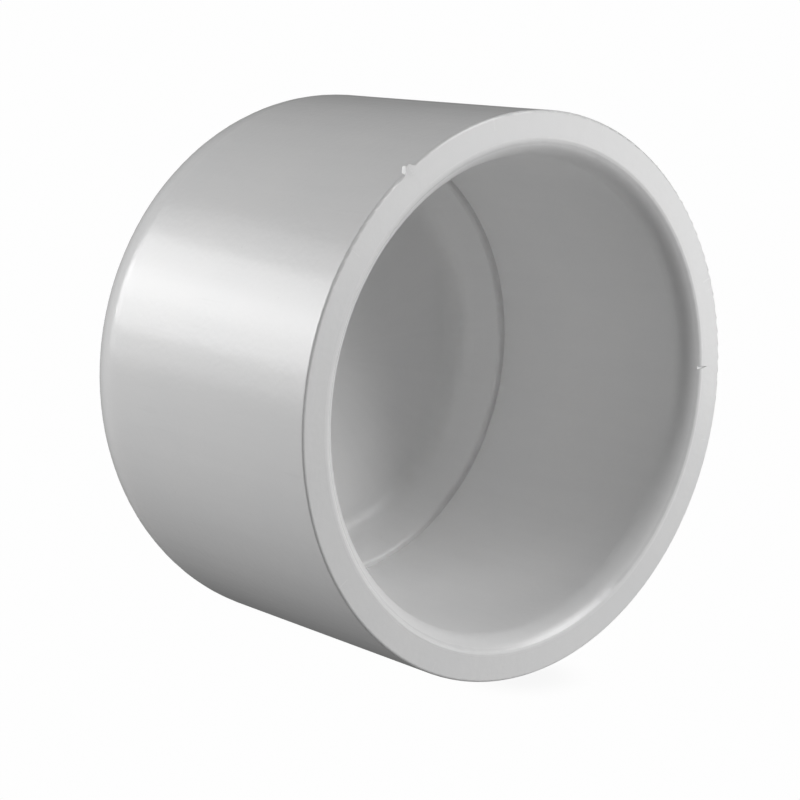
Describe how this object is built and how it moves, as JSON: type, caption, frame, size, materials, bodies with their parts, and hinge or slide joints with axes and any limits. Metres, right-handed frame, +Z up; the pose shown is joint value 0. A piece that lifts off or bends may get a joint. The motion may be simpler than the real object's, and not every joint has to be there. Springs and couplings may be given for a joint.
{
  "type": "pipe cap",
  "caption": "Round slip pipe cap: a moulded plastic cup with a smooth drafted outside, rounded closed end and a plain solvent-weld socket with a pipe stop.",
  "frame": {"origin": "on the cap's axis in the plane of the pipe stop, where the cut end of the pipe comes to rest", "axes": "+X along the axis and out of the mouth, the way the pipe leaves; +Z up, so the cap lies on its side as it is shown; +Y completes the set"},
  "size_m": [0.039, 0.0576, 0.0576],
  "materials": {
    "moulded_pvc": "satin"
  },
  "bodies": {
    "root": {"cap_body": "moulded_pvc"}
  },
  "joints": []
}
